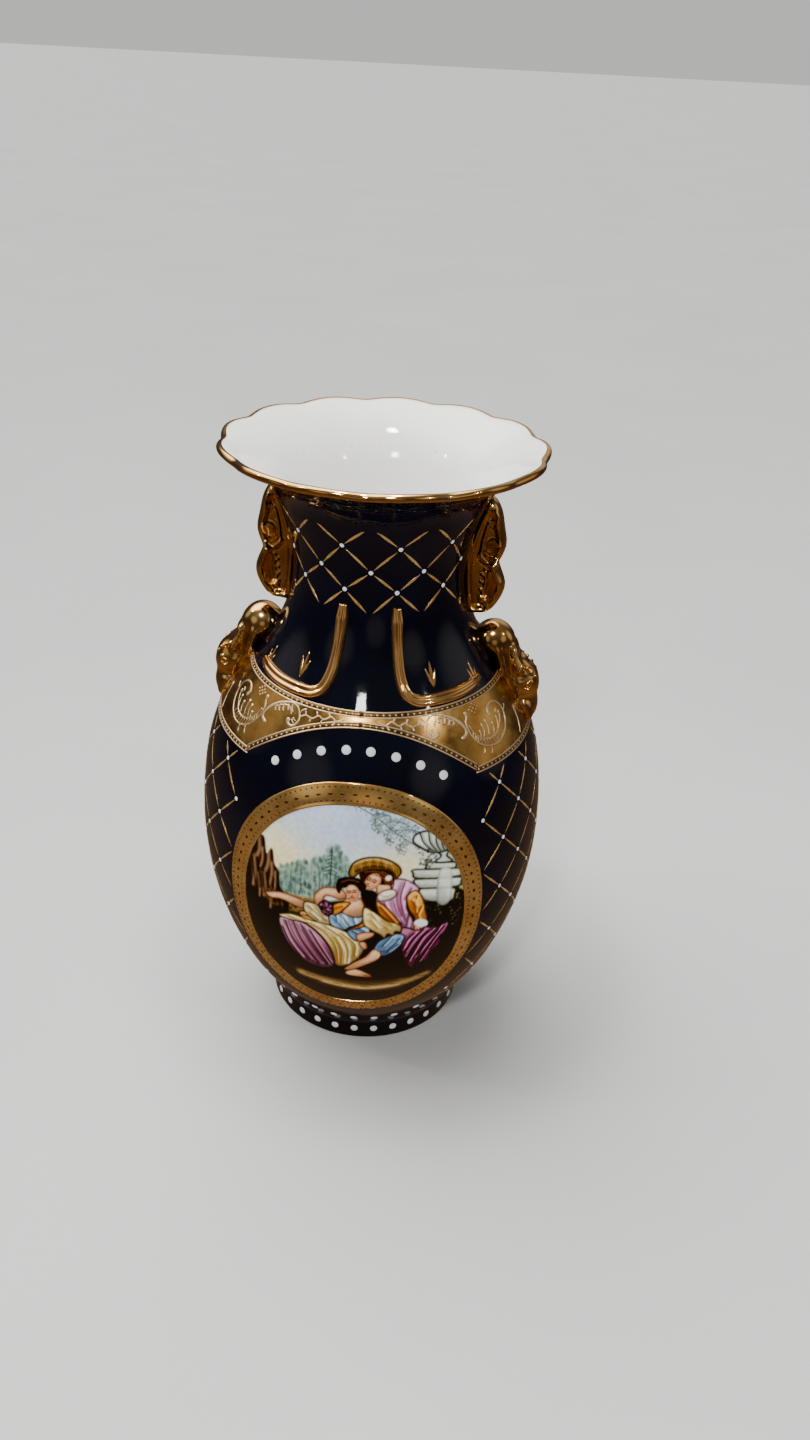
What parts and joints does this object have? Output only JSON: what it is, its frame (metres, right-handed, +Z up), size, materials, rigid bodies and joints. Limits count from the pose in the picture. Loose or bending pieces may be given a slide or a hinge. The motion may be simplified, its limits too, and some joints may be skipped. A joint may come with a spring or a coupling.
{
  "type": "porcelain vase",
  "caption": "Two-handled baluster vase with a scalloped trumpet mouth, gilt applied handles and beasts, a gilt shoulder collar and an oval painted medallion on each face.",
  "frame": {"origin": "centre of the foot ring's underside, on the surface the vase stands on", "axes": "+Z up the vase's axis, -Y towards the front medallion, +X towards the right-hand handle"},
  "size_m": [0.211, 0.2126, 0.38],
  "materials": {
    "cobalt_glaze": "near-black cobalt blue glaze, mirror gloss",
    "white_glaze": "white porcelain under clear glaze, high gloss",
    "gilding": "burnished fired gilding, mirror gloss with slight brush unevenness",
    "matt_gold": "satin transfer gilding with paler matt scrolls",
    "painted_enamel": "polychrome overglaze enamel painting under a light gloss",
    "white_enamel": "raised dots of white enamel, satin"
  },
  "bodies": {
    "root": {"foot_ring": "cobalt_glaze", "lower_body": "cobalt_glaze", "upper_body": "cobalt_glaze", "neck": "cobalt_glaze", "mouth": "white_glaze", "mouth_gilding": "gilding", "neck_handle_left": "gilding", "neck_handle_right": "gilding", "shoulder_beast_left": "gilding", "shoulder_beast_right": "gilding", "front_rib_left": "gilding", "front_rib_right": "gilding", "back_rib_left": "gilding", "back_rib_right": "gilding", "gilt_collar": "matt_gold", "front_medallion_frame": "gilding", "back_medallion_frame": "gilding", "front_medallion_painting": "painted_enamel", "back_medallion_painting": "painted_enamel"}
  },
  "joints": []
}
